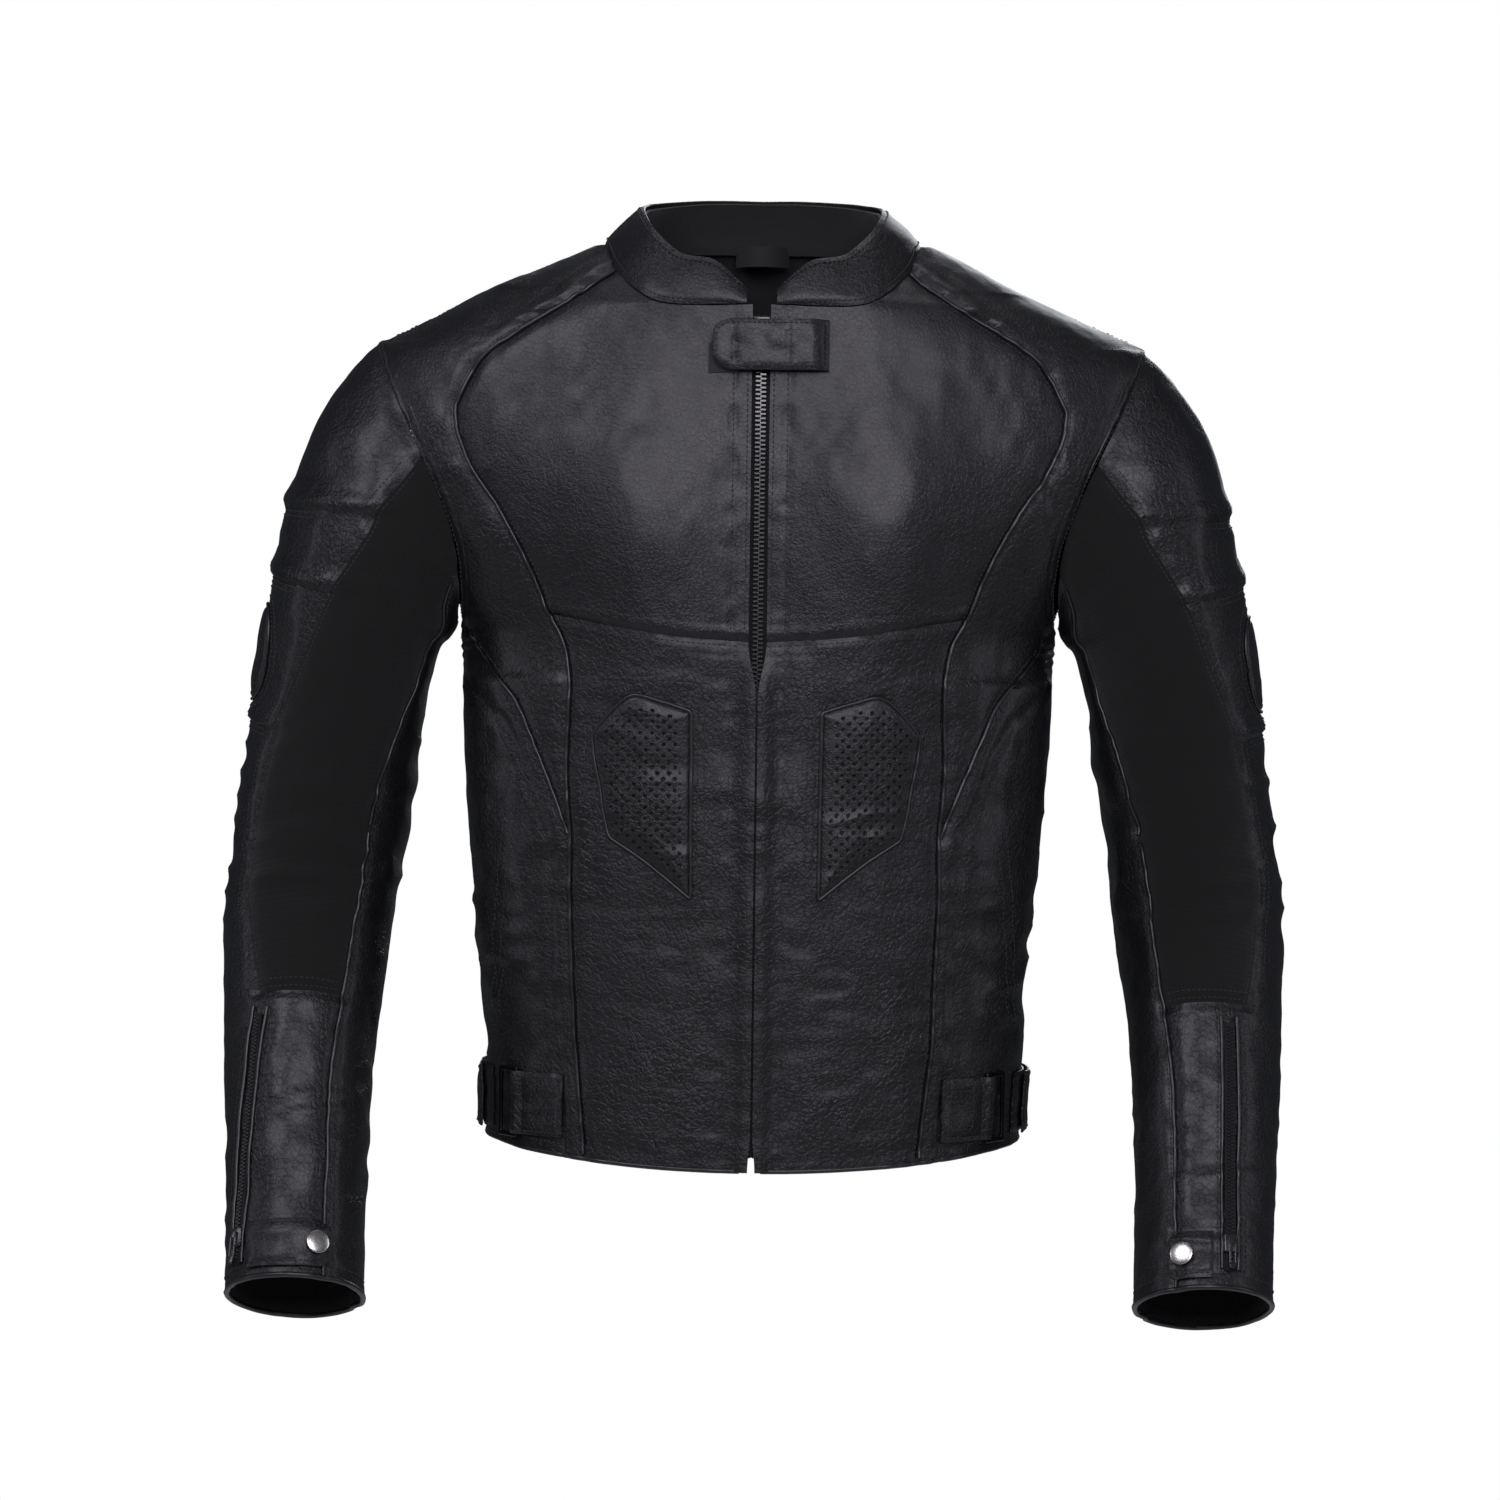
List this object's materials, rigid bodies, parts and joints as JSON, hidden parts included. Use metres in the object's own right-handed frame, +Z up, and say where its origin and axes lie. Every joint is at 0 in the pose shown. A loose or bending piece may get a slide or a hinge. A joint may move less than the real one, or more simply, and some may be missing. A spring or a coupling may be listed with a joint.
{
  "type": "leather riding jacket",
  "caption": "Waist-length black leather riding jacket with stand collar, front zip, throat strap, stretch arm panels, cuff zips and snap tabs, hanging by its neck loop.",
  "frame": {"origin": "middle of the loop inside the back of the neck, where a hook holds the jacket", "axes": "+Z up, the front faces -Y, +X is the wearer's left"},
  "size_m": [0.7026, 0.2745, 0.7402],
  "materials": {
    "leather": "pebbled black cowhide, satin",
    "lining": "smooth knitted black lining, matte",
    "stretch": "black ribbed stretch twill, matte",
    "foam": "dark closed-cell foam, matte",
    "zip_black": "black moulded zip teeth",
    "metal": "satin nickel"
  },
  "bodies": {
    "torso": {"back_yoke": "leather", "back_panel": "leather", "back_protector": "foam", "collar": "leather", "collar_lining": "lining", "hanger_loop": "lining", "wind_flap": "lining", "throat_patch": "lining", "zip_tape_l": "zip_black", "zip_tape_r": "zip_black", "chest_panel_l": "leather", "lower_front_l": "leather", "side_panel_l": "leather", "shoulder_panel_l": "leather", "belly_pad_l": "leather", "waist_tab_l": "leather", "waist_strap_l": "leather", "chest_panel_r": "leather", "lower_front_r": "leather", "side_panel_r": "leather", "shoulder_panel_r": "leather", "belly_pad_r": "leather", "waist_tab_r": "leather", "waist_strap_r": "leather"},
    "zip_slider": {"zip_slider": "metal"},
    "zip_pull": {"zip_pull": "metal"},
    "throat_strap": {"throat_strap": "leather"},
    "upper_sleeve_l": {"sleeve_cap_l": "leather", "upper_arm_panel_l": "leather", "upper_stretch_panel_l": "stretch", "underarm_panel_l": "leather", "shoulder_protector_l": "foam"},
    "forearm_l": {"forearm_panel_l": "leather", "forearm_stretch_panel_l": "stretch", "forearm_inner_panel_l": "leather", "elbow_protector_l": "foam", "cuff_zip_l": "zip_black"},
    "cuff_slider_l": {"cuff_slider_l": "metal"},
    "cuff_pull_l": {"cuff_pull_l": "metal"},
    "cuff_tab_l": {"cuff_tab_l": "leather", "snap_cap_l": "metal"},
    "waist_ring_l": {"waist_ring_l": "metal"},
    "waist_strap_end_l": {"waist_strap_end_l": "leather"},
    "upper_sleeve_r": {"sleeve_cap_r": "leather", "upper_arm_panel_r": "leather", "upper_stretch_panel_r": "stretch", "underarm_panel_r": "leather", "shoulder_protector_r": "foam"},
    "forearm_r": {"forearm_panel_r": "leather", "forearm_stretch_panel_r": "stretch", "forearm_inner_panel_r": "leather", "elbow_protector_r": "foam", "cuff_zip_r": "zip_black"},
    "cuff_slider_r": {"cuff_slider_r": "metal"},
    "cuff_pull_r": {"cuff_pull_r": "metal"},
    "cuff_tab_r": {"cuff_tab_r": "leather", "snap_cap_r": "metal"},
    "waist_ring_r": {"waist_ring_r": "metal"},
    "waist_strap_end_r": {"waist_strap_end_r": "leather"}
  },
  "joints": [
    {"name": "front_zip_slide", "type": "slide", "parent": "torso", "child": "zip_slider", "axis": [0, -0.0533, -0.9986], "range_m": [0, 0.525]},
    {"name": "front_pull_swing", "type": "hinge", "parent": "zip_slider", "child": "zip_pull", "pos_m": [0, -0.13492, -0.05126], "axis": [-1, 0, 0], "range_deg": [0, 6]},
    {"name": "throat_strap_peel", "type": "hinge", "parent": "torso", "child": "throat_strap", "pos_m": [0.04403, -0.13719, -0.0675], "axis": [0, 0, 1], "range_deg": [0, 85]},
    {"name": "shoulder_lift_l", "type": "hinge", "parent": "torso", "child": "upper_sleeve_l", "pos_m": [0.256, -0.049, -0.062], "axis": [0, -1, 0], "range_deg": [0, 45]},
    {"name": "elbow_bend_l", "type": "hinge", "parent": "upper_sleeve_l", "child": "forearm_l", "pos_m": [0.2905, -0.1015, -0.3835], "axis": [-1, 0, 0], "range_deg": [0, 50]},
    {"name": "cuff_zip_slide_l", "type": "slide", "parent": "forearm_l", "child": "cuff_slider_l", "axis": [0.0216, 0.3807, 0.9244], "range_m": [0, 0.135]},
    {"name": "cuff_pull_swing_l", "type": "hinge", "parent": "cuff_slider_l", "child": "cuff_pull_l", "pos_m": [0.30668, -0.19829, -0.63231], "axis": [-0.9704, -0.2145, 0.111], "range_deg": [0, 100]},
    {"name": "cuff_tab_open_l", "type": "hinge", "parent": "forearm_l", "child": "cuff_tab_l", "pos_m": [0.29431, -0.20012, -0.64217], "axis": [0.0216, 0.3807, 0.9244], "range_deg": [0, 80]},
    {"name": "waist_ring_tilt_l", "type": "hinge", "parent": "torso", "child": "waist_ring_l", "pos_m": [0.15296, -0.11836, -0.5615], "axis": [0, 0, -1], "range_deg": [0, 12]},
    {"name": "waist_strap_peel_l", "type": "hinge", "parent": "torso", "child": "waist_strap_end_l", "pos_m": [0.17909, -0.07942, -0.5615], "axis": [0, 0, -1], "range_deg": [0, 90]},
    {"name": "shoulder_lift_r", "type": "hinge", "parent": "torso", "child": "upper_sleeve_r", "pos_m": [-0.256, -0.049, -0.062], "axis": [0, 1, 0], "range_deg": [0, 45]},
    {"name": "elbow_bend_r", "type": "hinge", "parent": "upper_sleeve_r", "child": "forearm_r", "pos_m": [-0.2905, -0.1015, -0.3835], "axis": [-1, 0, 0], "range_deg": [0, 50]},
    {"name": "cuff_zip_slide_r", "type": "slide", "parent": "forearm_r", "child": "cuff_slider_r", "axis": [0.0426, 0.3209, 0.9462], "range_m": [0, 0.135]},
    {"name": "cuff_pull_swing_r", "type": "hinge", "parent": "cuff_slider_r", "child": "cuff_pull_r", "pos_m": [-0.32955, -0.1855, -0.63879], "axis": [-0.7825, 0.5995, -0.1681], "range_deg": [0, 100]},
    {"name": "cuff_tab_open_r", "type": "hinge", "parent": "forearm_r", "child": "cuff_tab_r", "pos_m": [-0.3204, -0.19212, -0.64613], "axis": [-0.0426, -0.3209, -0.9462], "range_deg": [0, 80]},
    {"name": "waist_ring_tilt_r", "type": "hinge", "parent": "torso", "child": "waist_ring_r", "pos_m": [-0.15296, -0.11836, -0.5615], "axis": [0, 0, 1], "range_deg": [0, 12]},
    {"name": "waist_strap_peel_r", "type": "hinge", "parent": "torso", "child": "waist_strap_end_r", "pos_m": [-0.17909, -0.07942, -0.5615], "axis": [0, 0, 1], "range_deg": [0, 90]}
  ]
}
